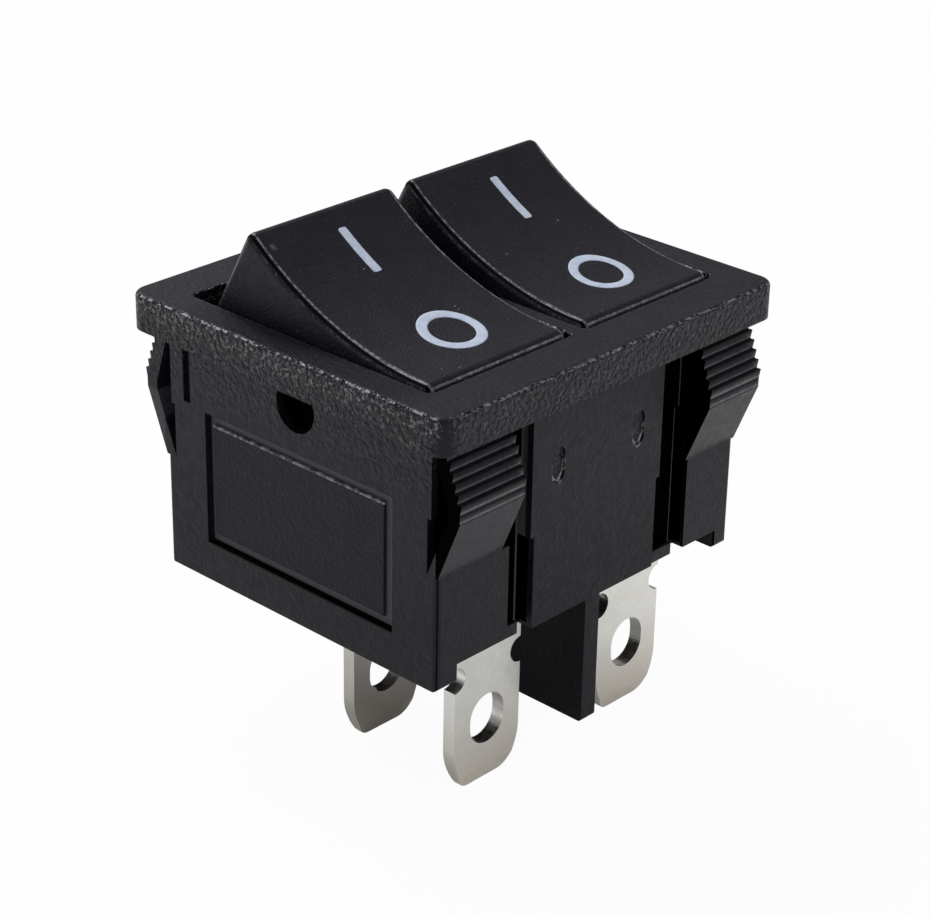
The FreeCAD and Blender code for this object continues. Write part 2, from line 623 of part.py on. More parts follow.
def main():
    """Writes each piece to its own file."""
    os.makedirs("parts", exist_ok=True)
    pieces = {"housing": housing()}
    for name, side in (("left", -1), ("right", 1)):
        pieces["rocker_" + name] = in_rocker(rocker_level(side), side)
        pieces["plunger_" + name] = in_rocker(plunger_level(), side)
        pieces["spring_" + name] = in_rocker(spring_level(), side)
        pieces["moving_contact_" + name] = on_fork(strip_level(), side)
        pieces["moving_contact_rivet_" + name] = on_fork(moving_rivet_level(), side)
        pieces["load_terminal_" + name] = load_terminal(side)
        pieces["fixed_contact_rivet_" + name] = fixed_rivet(side)
        pieces["common_terminal_" + name] = common_terminal(side)
    for node, shape in pieces.items():
        shape.exportStep("parts/" + node + ".step")
        print(node, "solids", len(shape.Solids), "valid", shape.isValid(), "volume", round(shape.Volume, 2),
              "box", [round(value, 2) for value in (shape.BoundBox.XMin, shape.BoundBox.XMax, shape.BoundBox.YMin,
                                                    shape.BoundBox.YMax, shape.BoundBox.ZMin, shape.BoundBox.ZMax)])


main()
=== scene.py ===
import json
import math

import bmesh
import bpy
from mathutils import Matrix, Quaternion, Vector
from mathutils.bvhtree import BVHTree

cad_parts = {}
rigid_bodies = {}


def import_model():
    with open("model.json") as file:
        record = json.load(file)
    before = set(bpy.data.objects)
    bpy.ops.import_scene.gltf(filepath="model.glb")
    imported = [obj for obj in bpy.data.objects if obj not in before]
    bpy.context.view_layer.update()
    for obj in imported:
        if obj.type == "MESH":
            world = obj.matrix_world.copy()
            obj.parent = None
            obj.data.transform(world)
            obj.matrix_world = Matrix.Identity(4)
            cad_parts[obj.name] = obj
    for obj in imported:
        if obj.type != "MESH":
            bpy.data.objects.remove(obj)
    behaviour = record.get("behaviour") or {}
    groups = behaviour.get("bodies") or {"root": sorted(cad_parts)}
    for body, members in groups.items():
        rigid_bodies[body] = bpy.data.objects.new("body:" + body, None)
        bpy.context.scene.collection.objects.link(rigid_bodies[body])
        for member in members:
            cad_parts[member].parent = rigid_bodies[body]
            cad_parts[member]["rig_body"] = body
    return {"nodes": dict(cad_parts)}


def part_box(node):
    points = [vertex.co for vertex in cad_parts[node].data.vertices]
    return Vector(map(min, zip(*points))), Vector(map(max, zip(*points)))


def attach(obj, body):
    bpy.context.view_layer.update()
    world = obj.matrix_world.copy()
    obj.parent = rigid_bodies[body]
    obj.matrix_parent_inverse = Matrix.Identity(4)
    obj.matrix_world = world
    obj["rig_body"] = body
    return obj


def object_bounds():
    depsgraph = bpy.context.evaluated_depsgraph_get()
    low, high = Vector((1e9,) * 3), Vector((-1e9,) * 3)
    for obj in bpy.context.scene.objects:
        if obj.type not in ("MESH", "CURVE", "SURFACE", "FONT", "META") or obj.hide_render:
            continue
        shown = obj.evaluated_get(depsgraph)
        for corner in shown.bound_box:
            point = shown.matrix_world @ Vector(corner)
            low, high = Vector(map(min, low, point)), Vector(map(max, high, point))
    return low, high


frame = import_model()
cad_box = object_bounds()

# Looks for the double rocker switch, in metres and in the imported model's frame. Z = 0 is the panel's face.
MM = 0.001
POLES = ("left", "right")

# Camera, fitted to the photograph of 930 x 918 pixels
IMAGE_W = 930
FOCAL_PX = 2604.8
SENSOR_W = 36.0
CAMERA_AZIMUTH = -46.926
CAMERA_ELEVATION = 25.912
CAMERA_ROLL = 1.044
CAMERA_DISTANCE = 0.150
CAMERA_TARGET = Vector((11.901, 10.304, -15.270)) * MM

# Printed marks on the rockers, in millimetres as seen from above: the middles of the bars and rings, their
# sizes, and how high and deep the ink lies. INK_RIM is the share of the ink's height that its edges have.
BAR_CENTRES = {"left": (-5.00, 1.64), "right": (5.615, 1.57)}
RING_CENTRES = {"left": (-5.015, -4.525), "right": (5.59, -4.59)}
BAR_W = 0.53
BAR_L = 2.56
BAR_CORNER = 0.12
RING_OUTER = {"left": 1.70, "right": 1.64}
RING_INNER = {"left": 1.15, "right": 1.13}
INK_T = 0.02
INK_DEPTH = 0.03
INK_RIM = 0.35
INK_STEPS_ALONG = 96
INK_STEPS_ACROSS = 6

# A small pip on the left rocker, by its edge at the raised end: its place and its reach
PIP_PLACE = (-9.3, 3.06, 0.0)
PIP_R = 0.22
PIP_CORE_R = 0.06

# Places on the housing that its finish goes by, in millimetres as in the CAD model. A place in X or Y holds
# on both sides. A pair gives where a finish starts and where it is full. PALE_LINE_X is a left and a right
# line.
CORNER_X = (11.2, 11.6)
CORNER_Y = (9.95, 10.35)
SPARKLE_Z = (0.5, 1.3)
GLINT_Z = (0.2, 1.3)
WALL_X = 10.9
WALL_GRAIN_Z = (-4.8, -0.6)
# Where the painted shade on the walls' lower parts sets in and where it is full, downwards
WALL_SHADE_Z = (-4.0, -11.0)
PANEL_FLOOR_X = 10.55
PLATEAU_X = 10.75
PANEL_Y = 6.5
PANEL_TOP_Z = -3.65
PANEL_BOTTOM_Z = -10.8
PLATEAU_Y = 6.1
PLATEAU_TOP_Z = -4.21
BASE_Z = -11.85
COLUMN_Y = 9.43
BLOCK_EDGE_X = 4.8
BLOCK_Y = (9.2, 9.3)
OVAL_X = 2.92
OVAL_Z = -3.63
OVAL_HALF_W = 0.45
OVAL_HALF_H = 0.95
OVAL_RIM_Z = (-3.0, -4.4)
CLIP_FROM_X = 5.1
CLIP_FROM_Y = 9.5
CLIP_FOLD_Z = -6.85
RIB_TOP_Z = -0.15
RIB_FOOT_Z = -3.56
RIB_PITCH = 0.4833
# The thin pale lines in two of the gaps
PALE_LINE_X = ((-4.90, -4.72), (6.74, 6.84))

# The strip of the bezel's face that the left rocker shades, in millimetres: it darkens outwards, and it ends
# softly at both Y
SHADED_X = (-9.8, -10.6)
SHADED_Y = (-9.0, 8.0)
SHADED_SOFT = 2.5

# Places on the rockers: where the trunnions start and where the end by the O does
TRUNNION_X = 10.1
OFF_END_Y = -5.8

# Metal finishes: the colour, the colour at a tab's tip, warmer with the brass and darker with painted shade
# near the floor, and the limits of its roughness
METALS = {
    "load_tab_plating": ((0.78, 0.77, 0.725), (0.62, 0.56, 0.475), 0.26, 0.38),
    # The common tabs' plating is a darker copy of the load tabs', as painted shade under the body
    "shaded_common_tab_plating": ((0.54, 0.52, 0.48), (0.37, 0.34, 0.29), 0.28, 0.42),
    "strip_metal": ((0.74, 0.56, 0.28), (0.74, 0.56, 0.28), 0.25, 0.40),
    "contact_metal": ((0.80, 0.80, 0.78), (0.80, 0.80, 0.78), 0.25, 0.40),
    "spring_wire": ((0.50, 0.50, 0.51), (0.50, 0.50, 0.51), 0.25, 0.35),
}
# Where the tips grow warmer and, as painted shade, darker, and how far
WARM_AND_SHADED_Z = (-15.5, -21.0)
WARM_AND_SHADED_SHARE = 0.85
CLOUD_SHARE = 0.35
CLOUD_SHADE = 0.84
STAIN_SHARE = 0.5
STAIN_SHADE = 0.45

# The plungers' undyed nylon and the marks' ink, each mottled between two colours
UNDYED_LOW = (0.70, 0.68, 0.60, 1.0)
UNDYED_HIGH = (0.78, 0.76, 0.68, 1.0)
INK_LOW = (0.50, 0.57, 0.70, 1.0)
INK_HIGH = (0.58, 0.65, 0.77, 1.0)

# Black nylon: its colour's limits, its blue cast, how strongly it reflects, its roughness' limits, and the
# greys of the dust on it and of the painted shade in its darkest places
BLACK_LOW = 0.0042
BLACK_HIGH = 0.0058
BLACK_BLUE = 2.0
BLACK_SHEEN = 0.28
HOUSING_ROUGH = (0.46, 0.56)
ROCKER_ROUGH = (0.42, 0.52)
DULL_ROUGH = 0.6
DUST_GREY = 0.35
PAINTED_SHADE_GREY = 0.0004

# Specks: the width of the cells they lie in and their radius in millimetres, and the share of cells with one
DUST = (1.0, 0.075, 0.14)
ROCKER_SPECKS = (0.80, 0.062, 0.26)
STAINS = (1.3, 0.10, 0.10)

# How strongly each small mark shows against the nylon; the rockers' edge lines are painted highlights
DUST_SHARE = 0.30
SPECK_SHARE = 0.42
PIP_SHARE = 0.14
INNER_LINE_SHARE = 0.58
END_LINE_SHARE = 0.35
OUTER_LINE_SHARE = 0.12

# Painted light and pale marks, in the order they are laid on: a paler tone's share, that tone and its blue
# cast
HOUSING_TONES = {
    # Painted highlights: glints on the grain and sparkle on the bezel's sides
    "glints": (0.60, 0.18, 1.0),
    "sparkle": (0.50, 0.34, 1.0),
    # Painted light on the floor of the marking panel's shaded groove
    "groove": (1.0, 0.07, 1.1),
    # Painted highlights along the bezel's rim, the plateau's top edge and the ovals' rims
    "rim_dots": (0.80, 0.48, 1.0),
    "panel_rim": (0.70, 0.40, 1.0),
    "oval_rim": (0.85, 0.40, 1.0),
    # The clips: a slightly paler tone on the ribs and painted highlights on their lips
    "ribs": (0.20, 0.06, 1.05),
    "lips": (0.55, 0.26, 1.05),
    # A streaked painted reflection on the clips' slopes
    "slopes": (1.0, 0.052, 1.08),
    # A thin pale line in two of the gaps
    "pale_line": (1.0, 0.10, 1.0),
}
ROCKER_TONES = {
    # Painted glints on the grain, pale specks of dust and the pip, and painted highlight lines along the
    # edges
    "glints": (0.14, 0.14, 1.1),
    "dots": (1.0, 0.42, 1.1),
    "lines": (1.0, 0.34, 1.0),
}

# Painted shade: how much of their reflection some dark places lose, so that they look deeper and darker
HOUSING_PAINTED_SHADE = {
    "gaps": 1.0,
    "walls_low": 0.20,
    "clip_sides": 1.0,
    "barrier_sides": 0.5,
    "valleys": 0.62,
    "shaded_strip": 0.36,
    "sill": 0.9,
    "uprights": 0.8,
}
# Painted shade on the rockers: the trunnions' ends in their holes and a dark strip on each curved edge
ROCKER_PAINTED_SHADE = {
    "trunnions": 1.0,
    "edge_strips": 0.82,
}

# How coarse the texture is, as a share of its full depth. Its depths and the fine grain's size are in
# millimetres.
WALL_GRAIN = 0.38
PLATEAU_GRAIN = 0.12
OVAL_GRAIN = 0.5
LEAST_GRAIN = 0.08
HOUSING_PIT_DEPTH = 0.11
ROCKER_PIT_DEPTH = 0.008
PIP_HEIGHT = 0.05
FINE_SIZE = 0.06
HOUSING_FINE_DEPTH = 0.006
ROCKER_FINE_DEPTH = 0.003

# Studio
FLOOR_HALF = 2.0
FLOOR_DROP = 0.02
FLOOR_ALBEDO = 0.82
FLOOR_WHITE = 0.96
FLOOR_IN_REFLECTIONS = 0.68
FLOOR_SHADE_REACH = 22.0
FLOOR_SHADE_SAMPLES = 8
WORLD_GREY = (0.32, 0.32, 0.34)
KEY_FROM = Vector((0.02, 0.61, 0.79))
KEY_DISTANCE = 0.42
KEY_SIZE = 0.26
KEY_POWER = 1.3
EDGE_FROM = Vector((0.64, -0.66, 0.38))
EDGE_DISTANCE = 0.42
EDGE_SIZE = 0.10
EDGE_POWER = 0.26
FILL_FROM = Vector((-0.85, -0.35, 0.45))
FILL_DISTANCE = 0.45
FILL_SIZE = 0.30
FILL_POWER = 0.22


class Shader:
    """A material's node tree, with short ways to add what the finishes here share."""

    def __init__(self, name):
        self.material = bpy.data.materials.new(name)
        self.material.use_nodes = True
        self.nodes = self.material.node_tree.nodes
        self.links = self.material.node_tree.links
        self.bsdf = self.nodes["Principled BSDF"]
        spots = self.nodes.new("ShaderNodeTexCoord").outputs
        self.place, self.facing = spots["Object"], spots["Normal"]

    def connect(self, value, socket):
        """Links a node's output to the socket, or sets the socket's own value."""
        if isinstance(value, bpy.types.NodeSocket):
            self.links.new(value, socket)
        else:
            socket.default_value = value

    def add(self, kind, inputs=None, **settings):
        """A new node of that kind, with its inputs connected and its other settings made."""
        node = self.nodes.new(kind)
        for key, value in settings.items():
            setattr(node, key, value)
        for key, value in (inputs or {}).items():
            self.connect(value, node.inputs[key])
        return node

    def math(self, operation, a, b=0.0):
        """The result of a sum, a product or the like."""
        return self.add("ShaderNodeMath", {0: a, 1: b}, operation=operation).outputs[0]

    def along(self, axis):
        """The place along one axis, in millimetres."""
        place = self.add("ShaderNodeSeparateXYZ", {"Vector": self.place}).outputs[axis]
        return self.math("DIVIDE", place, MM)

    def turned(self, axis):
        """The object-space normal's share along one axis."""
        return self.add("ShaderNodeSeparateXYZ", {"Vector": self.facing}).outputs[axis]

    def noise(self, size_mm, detail=2.0, rough=0.5, stretch=(1, 1, 1)):
        """Noise whose grains are about that size, drawn out by the stretch."""
        shrink = tuple(1 / factor for factor in stretch)
        place = self.add("ShaderNodeVectorMath", {0: self.place, 1: shrink}, operation="MULTIPLY").outputs[0]
        inputs = {"Vector": place, "Scale": 1 / (size_mm * MM), "Detail": detail, "Roughness": rough}
        return self.add("ShaderNodeTexNoise", inputs).outputs["Fac"]

    def remap(self, value, start, end, to_start=0.0, to_end=1.0):
        """Goes smoothly from to_start at the start value to to_end at the end value, which may be lower."""
        inputs = {"Value": value, "From Min": start, "From Max": end, "To Min": to_start, "To Max": to_end}
        return self.add("ShaderNodeMapRange", inputs, interpolation_type="SMOOTHSTEP").outputs["Result"]

    def band(self, value, low, high, soft):
        """1 between low and high, and 0 past them."""
        return self.all_of(self.remap(value, low, low + soft), self.remap(value, high, high - soft))

    def patches(self, size_mm, start, end, least=0.0, detail=1.0):
        """Irregular patches of about that size: 1 inside them, and the least value outside."""
        return self.remap(self.noise(size_mm, detail), start, end, least, 1.0)

    def all_of(self, *masks):
        """The masks' product."""
        product = masks[0]
        for mask in masks[1:]:
            product = self.math("MULTIPLY", product, mask)
        return product

    def any_of(self, *masks):
        """The greatest of the masks."""
        most = masks[0]
        for mask in masks[1:]:
            most = self.math("MAXIMUM", most, mask)
        return most

    def without(self, mask, share=1.0):
        """1 where the mask is 0, less the share where it is 1."""
        return self.remap(mask, 0.0, 1.0, 1.0, 1.0 - share)

    def mix(self, share, a, b):
        """The colour a, with that share of b."""
        node = self.add("ShaderNodeMix", data_type="RGBA")
        for place, value in ((0, share), (6, a), (7, b)):
            self.connect(value, node.inputs[place])
        return node.outputs[2]

    def specks(self, cell_mm, radius_mm, share):
        """Sparse round specks: 1 inside a speck and 0 outside."""
        inputs = {"Vector": self.place, "Scale": 1 / (cell_mm * MM), "Randomness": 1.0}
        cells = self.add("ShaderNodeTexVoronoi", inputs, feature="F1")
        radius = radius_mm / cell_mm
        near = self.remap(cells.outputs["Distance"], radius, radius / 2)
        pick = self.add("ShaderNodeSeparateColor", {"Color": cells.outputs["Color"]}).outputs["Red"]
        return self.all_of(near, self.math("GREATER_THAN", pick, 1 - share))

    def bump(self, heights):
        """Chained bumps from (height socket, depth in mm) pairs."""
        normal = None
        for height, depth_mm in heights:
            inputs = {"Height": height, "Distance": depth_mm * MM, "Strength": 1.0}
            if normal:
                inputs["Normal"] = normal
            normal = self.add("ShaderNodeBump", inputs).outputs["Normal"]
        self.links.new(normal, self.bsdf.inputs["Normal"])

    def look(self, colour, roughness):
        """Sets the surface's colour and roughness."""
        self.connect(colour, self.bsdf.inputs["Base Color"])
        self.connect(roughness, self.bsdf.inputs["Roughness"])

    def look_with_painted_shade(self, colour, roughness, dark):
        """As look, but with painted shade: nearly no reflection where the dark mask is 1."""
        self.look(self.mix(dark, colour, grey(PAINTED_SHADE_GREY)), self.any_of(roughness, dark))
        self.connect(dark, self.bsdf.inputs["Metallic"])

    def toned(self, colour, masks, tones):
        """The colour with each named mask's tone laid over it in turn."""
        for name, (share, level, blue) in tones.items():
            colour = self.mix(self.all_of(masks[name], share), colour, grey(level, blue))
        return colour

    def painted_shade(self, masks, shares):
        """How deep the painted shade at a place is: the darkest of the named masks, each by its share."""
        return self.any_of(*(self.all_of(masks[name], share) for name, share in shares.items()))


def grey(level, blue=1.0):
    """A grey of that level, with its blue channel multiplied."""
    return (level, level, level * blue, 1.0)


def black_body(s):
    """The black nylon's colour: faintly mottled, with sparse pale dust."""
    mottled = s.remap(s.noise(1.6), 0.3, 0.7)
    body = s.mix(mottled, grey(BLACK_LOW, BLACK_BLUE), grey(BLACK_HIGH, BLACK_BLUE))
    return s.mix(s.all_of(s.specks(*DUST), DUST_SHARE), body, grey(DUST_GREY))


class HousingShader(Shader):
    """The housing's node tree, with the values that all of its masks start from."""

    def __init__(self):
        super().__init__("housing_nylon")
        self.across, self.deep, self.height = (self.along(axis) for axis in "XYZ")
        self.side = self.math("ABSOLUTE", self.across)
        self.end = self.math("ABSOLUTE", self.deep)
        self.sideways = self.math("ABSOLUTE", self.turned("X"))
        self.up = self.turned("Z")
        self.below = self.remap(self.height, 0.0, -0.05)
        self.bezel = self.without(self.below)


def bezel_masks(s):
    """The bezel: its rim with painted highlight dots, corners, painted sparkle on its sides, grain and the
    strip that the left rocker shades.
    """
    face = s.all_of(s.bezel, s.remap(s.up, 0.96, 0.99))
    rim = s.all_of(s.bezel, s.band(s.up, 0.35, 0.97, 0.1))
    corners = s.all_of(s.remap(s.side, *CORNER_X), s.remap(s.end, *CORNER_Y))
    # Painted highlight dots along the rim, more on the sides
    rim_highlight_band = s.all_of(s.bezel, s.band(s.up, 0.50, 0.94, 0.12), s.patches(0.24, 0.46, 0.62))
    more_on_sides = s.remap(s.sideways, 0.1, 0.5, 0.4, 1.0)
    shaded_strip = s.all_of(face, s.remap(s.across, *SHADED_X), s.band(s.deep, *SHADED_Y, SHADED_SOFT))
    # Painted sparkle highlights on the bezel's upper sides
    sides = s.all_of(s.bezel, s.remap(s.sideways, 0.7, 0.9), s.remap(s.height, *SPARKLE_Z), s.without(rim))
    coarser_on_sides = s.remap(s.sideways, 0.3, 0.7, 0.6, 1.0)
    return {
        "rim": rim,
        "corners": corners,
        "rim_dots": s.all_of(rim_highlight_band, s.without(corners), more_on_sides),
        "shaded_strip": shaded_strip,
        "sparkle": s.all_of(sides, s.patches(0.20, 0.57, 0.66)),
        "bezel_grain": s.all_of(s.bezel, s.without(face, 0.9), s.without(corners), coarser_on_sides),
    }


def wall_masks(s):
    """The side walls and the marking panel's plateau, groove, sill and top rim, with painted light and shade
    on them.
    """
    walls = s.all_of(s.remap(s.side, WALL_X - 0.3, WALL_X - 0.1), s.remap(s.height, *WALL_GRAIN_Z), s.below)
    panel_depth = s.band(s.side, PANEL_FLOOR_X - 0.05, WALL_X - 0.1, 0.02)
    below_top = s.remap(s.height, PANEL_TOP_Z + 0.05, PANEL_TOP_Z - 0.05)
    panel = s.all_of(panel_depth, s.remap(s.end, PANEL_Y, PANEL_Y - 0.1), below_top)
    above_floor = s.remap(s.side, PLATEAU_X - 0.07, PLATEAU_X - 0.03)
    plateau = s.all_of(above_floor, s.remap(s.side, PLATEAU_X + 0.05, PLATEAU_X + 0.03), panel)
    # Painted light on the groove's floor, which lies in shade
    groove = s.all_of(s.band(s.side, PANEL_FLOOR_X - 0.05, PANEL_FLOOR_X + 0.07, 0.03),
                      s.band(s.deep, 0.1 - PANEL_Y, PANEL_Y - 0.08, 0.06),
                      s.band(s.height, PANEL_BOTTOM_Z + 0.1, PANEL_TOP_Z - 0.01, 0.06))
    # A painted highlight along the plateau's top edge
    rim = s.all_of(s.band(s.side, PANEL_FLOOR_X + 0.05, WALL_X - 0.1, 0.02),
                   s.band(s.height, PLATEAU_TOP_Z - 0.13, PLATEAU_TOP_Z + 0.03, 0.02),
                   s.remap(s.end, PLATEAU_Y + 0.1, PLATEAU_Y))
    # Painted shade on the lower parts of the walls and the block
    lower = s.remap(s.height, *WALL_SHADE_Z)
    on_wall = s.remap(s.side, WALL_X - 0.2, WALL_X - 0.1)
    on_block = s.remap(s.side, BLOCK_EDGE_X + 0.1, BLOCK_EDGE_X)
    return {
        "walls": walls,
        "panel": panel,
        "plateau": plateau,
        "groove": groove,
        # Painted shade on the panel's sill
        "sill": s.all_of(panel, s.remap(s.height, PANEL_BOTTOM_Z + 0.12, PANEL_BOTTOM_Z + 0.06)),
        "panel_rim": s.all_of(rim, s.patches(0.30, 0.40, 0.60, 0.25)),
        "walls_low": s.all_of(lower, s.any_of(on_wall, on_block)),
    }


def oval_masks(s):
    """The shallow ovals on the centre blocks, and a painted highlight on their rims, brightest low down."""
    on_block = s.remap(s.end, *BLOCK_Y)
    from_middle = s.math("DIVIDE", s.math("SUBTRACT", s.side, OVAL_X), OVAL_HALF_W)
    from_level = s.math("DIVIDE", s.math("SUBTRACT", s.height, OVAL_Z), OVAL_HALF_H)
    squares = s.math("ADD", s.math("POWER", from_middle, 2.0), s.math("POWER", from_level, 2.0))
    reach = s.math("POWER", squares, 0.5)
    # A painted highlight on the ovals' rims
    rims = s.all_of(s.band(reach, 0.76, 1.12, 0.1), on_block, s.patches(0.22, 0.36, 0.6))
    return {
        "ovals": s.all_of(s.remap(reach, 1.1, 1.0), on_block),
        "oval_rim": s.all_of(rims, s.remap(s.height, *OVAL_RIM_Z, 0.10, 1.0)),
    }


def clip_masks(s):
    """The snap clips: slopes with a streaked painted reflection, and above them ribs with painted highlights
    on their lips and painted shade in their valleys.
    """
    beyond = s.remap(s.side, CLIP_FROM_X - 0.1, CLIP_FROM_X + 0.1)
    clips = s.all_of(beyond, s.remap(s.end, CLIP_FROM_Y - 0.04, CLIP_FROM_Y + 0.1), s.below)
    # A streaked painted reflection on the slopes
    slopes = s.all_of(clips, s.remap(s.height, RIB_FOOT_Z + 0.06, RIB_FOOT_Z - 0.06))
    outward = s.remap(s.all_of(s.deep, s.turned("Y")), 0.0, 1.0)
    ribs = s.all_of(clips, outward, s.remap(s.height, RIB_FOOT_Z - 0.06, RIB_FOOT_Z + 0.06))
    tooth = s.math("FRACT", s.math("DIVIDE", s.math("SUBTRACT", RIB_TOP_Z, s.height), RIB_PITCH))
    front = s.remap(s.sideways, 0.5, 0.3)
    below_first = s.remap(s.height, RIB_TOP_Z, RIB_TOP_Z - 0.1)
    streaks = s.remap(s.noise(0.10, 3.0, 0.6, (14, 1, 1)), 0.3, 0.7, 0.6, 1.0)
    near_end = s.remap(s.deep, -9.28, -9.3)
    return {
        "ribs": ribs,
        # Painted highlights on the ribs' lips, painted shade in their valleys and on the clips' sides
        "lips": s.all_of(ribs, front, s.band(tooth, 0.58, 0.97, 0.14), s.patches(0.3, 0.3, 0.6, 0.6)),
        "valleys": s.all_of(ribs, front, s.remap(tooth, 0.5, 0.2), below_first),
        "slopes": s.all_of(slopes, streaks),
        "clip_sides": s.all_of(beyond, near_end, s.below, s.remap(s.sideways, 0.8, 0.9)),
    }


def recess_masks(s):
    """Painted shade in the gaps beside the clips and in other recesses, and a thin pale line in two of the
    gaps.
    """
    # Painted shade in the gaps beside the clips
    inside = s.all_of(s.remap(s.end, 9.3, 9.2), s.remap(s.side, WALL_X - 0.4, WALL_X - 0.45))
    gaps = s.all_of(inside, s.below, s.remap(s.height, BASE_Z + 0.15, BASE_Z + 0.25))
    left_line, right_line = PALE_LINE_X
    # The thin pale line in two of the gaps
    lines = s.any_of(s.band(s.across, *left_line, 0.04), s.band(s.across, *right_line, 0.03))
    under_base = s.remap(s.height, BASE_Z - 0.05, BASE_Z - 0.25)
    under_fold = s.remap(s.height, CLIP_FOLD_Z + 0.05, CLIP_FOLD_Z - 0.05)
    by_column = s.all_of(s.band(s.side, WALL_X - 0.28, WALL_X - 0.04, 0.05),
                         s.band(s.end, COLUMN_Y - 0.28, COLUMN_Y - 0.03, 0.04))
    return {
        "gaps": gaps,
        "pale_line": s.all_of(gaps, lines),
        # Painted shade on the barrier's sides and on the uprights by the columns
        "barrier_sides": s.all_of(under_base, s.remap(s.side, 2.0, 1.0), s.remap(s.sideways, 0.6, 0.8)),
        "uprights": s.all_of(by_column, under_fold),
    }


def housing_nylon():
    """Spark-textured nylon, coarse on the bezel's sides, with painted highlights, a painted reflection on
    the clips and painted shade in recesses.
    """
    s = HousingShader()
    s.bsdf.inputs["Specular IOR Level"].default_value = BLACK_SHEEN
    masks = {}
    for find_masks in (bezel_masks, wall_masks, oval_masks, clip_masks, recess_masks):
        masks.update(find_masks(s))
    on_walls = s.all_of(masks["walls"], WALL_GRAIN)
    on_plateaus = s.all_of(masks["plateau"], PLATEAU_GRAIN)
    in_ovals = s.all_of(masks["ovals"], OVAL_GRAIN)
    grain = s.any_of(masks["bezel_grain"], on_walls, on_plateaus, in_ovals, LEAST_GRAIN)
    pits = s.patches(0.27, 0.36, 0.64, detail=1.5)
    # Painted glints on the grain, weaker low down
    masks["glints"] = s.all_of(s.patches(0.22, 0.58, 0.68), grain, s.remap(s.height, *GLINT_Z, 0.55, 1.0))
    body = s.toned(black_body(s), masks, HOUSING_TONES)
    clouded = s.remap(s.noise(0.5), 0.25, 0.75, *HOUSING_ROUGH)
    rough = s.all_of(clouded, s.without(grain, 0.25), s.without(masks["rim"], 0.4))
    dull = s.all_of(s.any_of(masks["corners"], masks["panel"]), DULL_ROUGH)
    dark = s.all_of(s.painted_shade(masks, HOUSING_PAINTED_SHADE), s.without(masks["pale_line"]))
    s.look_with_painted_shade(body, s.any_of(rough, dull), dark)
    s.bump([(s.all_of(pits, grain), HOUSING_PIT_DEPTH), (s.noise(FINE_SIZE), HOUSING_FINE_DEPTH)])
    return s.material


def rocker_nylon():
    """Finely grained nylon, with painted highlight lines and strips of painted shade along the edges, and
    painted shade on the trunnions.
    """
    s = Shader("rocker_nylon")
    s.bsdf.inputs["Specular IOR Level"].default_value = BLACK_SHEEN
    across, deep = s.along("X"), s.along("Y")
    sideways, lengthways = s.math("ABSOLUTE", s.turned("X")), s.turned("Y")
    off_end = s.remap(deep, OFF_END_Y, OFF_END_Y - 0.15)
    off_edge = s.all_of(off_end, s.band(lengthways, -0.9, -0.15, 0.05))
    edges = s.any_of(s.band(sideways, 0.10, 0.97, 0.05), off_edge)
    # Painted highlight lines along the O end's edge and along the long edges
    end_line = s.all_of(off_end, s.band(lengthways, -0.97, -0.72, 0.06), s.patches(0.24, 0.40, 0.60, 0.2))
    inner_line = s.all_of(s.band(sideways, 0.10, 0.42, 0.08), s.patches(0.20, 0.38, 0.62, 0.25, detail=2.0))
    outer_line = s.all_of(s.band(sideways, 0.80, 0.97, 0.05), s.patches(0.24, 0.48, 0.62))
    spot = s.add("ShaderNodeCombineXYZ", {0: across, 1: deep}).outputs[0]
    from_pip = s.add("ShaderNodeVectorMath", {0: spot, 1: PIP_PLACE}, operation="DISTANCE").outputs["Value"]
    pip = s.remap(from_pip, PIP_R, PIP_CORE_R)
    lines = s.any_of(s.all_of(inner_line, INNER_LINE_SHARE), s.all_of(end_line, END_LINE_SHARE),
                     s.all_of(outer_line, OUTER_LINE_SHARE))
    masks = {
        "glints": s.patches(0.12, 0.63, 0.72),
        "dots": s.any_of(s.all_of(s.specks(*ROCKER_SPECKS), SPECK_SHARE), s.all_of(pip, PIP_SHARE)),
        "lines": lines,
        # Painted shade: the trunnions' ends and a dark strip on each curved edge
        "trunnions": s.remap(s.math("ABSOLUTE", across), TRUNNION_X - 0.02, TRUNNION_X + 0.02),
        "edge_strips": s.band(sideways, 0.42, 0.80, 0.06),
    }
    body = s.toned(black_body(s), masks, ROCKER_TONES)
    rough = s.all_of(s.remap(s.noise(0.5), 0.25, 0.75, *ROCKER_ROUGH), s.without(edges, 0.35))
    s.look_with_painted_shade(body, rough, s.painted_shade(masks, ROCKER_PAINTED_SHADE))
    pits = s.all_of(s.patches(0.14, 0.36, 0.64, detail=1.5), s.without(edges, 0.5))
    s.bump([(pits, ROCKER_PIT_DEPTH), (pip, PIP_HEIGHT), (s.noise(FINE_SIZE), ROCKER_FINE_DEPTH)])
    return s.material


